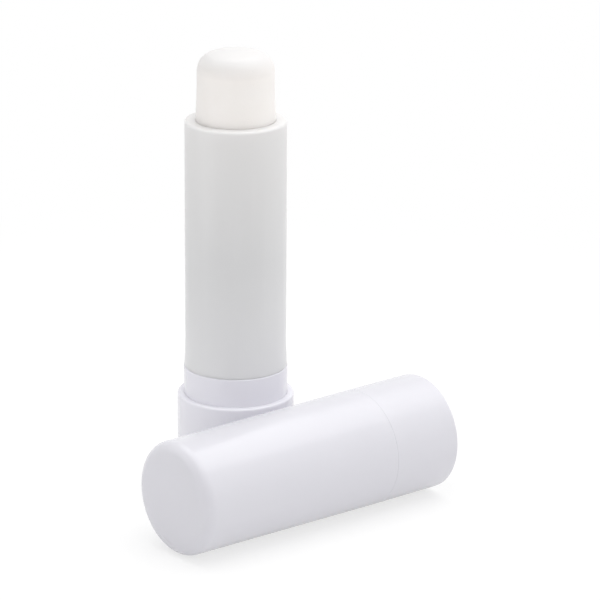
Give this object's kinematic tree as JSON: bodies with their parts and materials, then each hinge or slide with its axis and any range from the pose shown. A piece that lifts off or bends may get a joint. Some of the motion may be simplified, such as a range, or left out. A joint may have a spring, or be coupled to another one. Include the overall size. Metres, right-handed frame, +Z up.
{
  "type": "lip balm stick",
  "caption": "Twist-up lip balm stick: a frosted tube on a turning base with the balm screwed part way up, and its pull-off cap laid beside it.",
  "frame": {"origin": "centre of the base's underside, on the surface that the stick stands on", "axes": "+Z up along the stick, +X along the cap that lies down, from its closed end to its mouth, +Y away from the cap"},
  "size_m": [0.051, 0.0385, 0.0732],
  "materials": {
    "base_plastic": "glossy moulded polypropylene",
    "insert_plastic": "glossy moulded polypropylene",
    "spindle_plastic": "natural moulded plastic",
    "sleeve_plastic": "frosted translucent polypropylene",
    "carrier_plastic": "moulded plastic",
    "balm_wax": "soft satin wax",
    "cap_plastic": "glossy moulded polypropylene"
  },
  "bodies": {
    "base": {"base_shell": "base_plastic", "base_insert": "insert_plastic", "spindle": "spindle_plastic"},
    "sleeve_body": {"sleeve": "sleeve_plastic"},
    "lift_body": {"carrier": "carrier_plastic", "balm": "balm_wax"},
    "cap_body": {"cap": "cap_plastic"}
  },
  "joints": [
    {"name": "sleeve_twist", "type": "hinge", "parent": "base", "child": "sleeve_body", "pos_m": [0, 0, 0], "axis": [0, 0, -1], "range_deg": [-856.8, 1411.2]},
    {"name": "balm_lift", "type": "slide", "parent": "sleeve_body", "child": "lift_body", "axis": [0, 0, 1], "range_m": [-0.01191, 0.01961]},
    {"name": "cap_slide", "type": "slide", "parent": "base", "child": "cap_body", "axis": [-1, 0, 0], "range_m": [0, 0.046]}
  ],
  "couplings": [
    {"joint": "balm_lift", "follows": "sleeve_twist", "m_per_rad": 0.00079577}
  ]
}
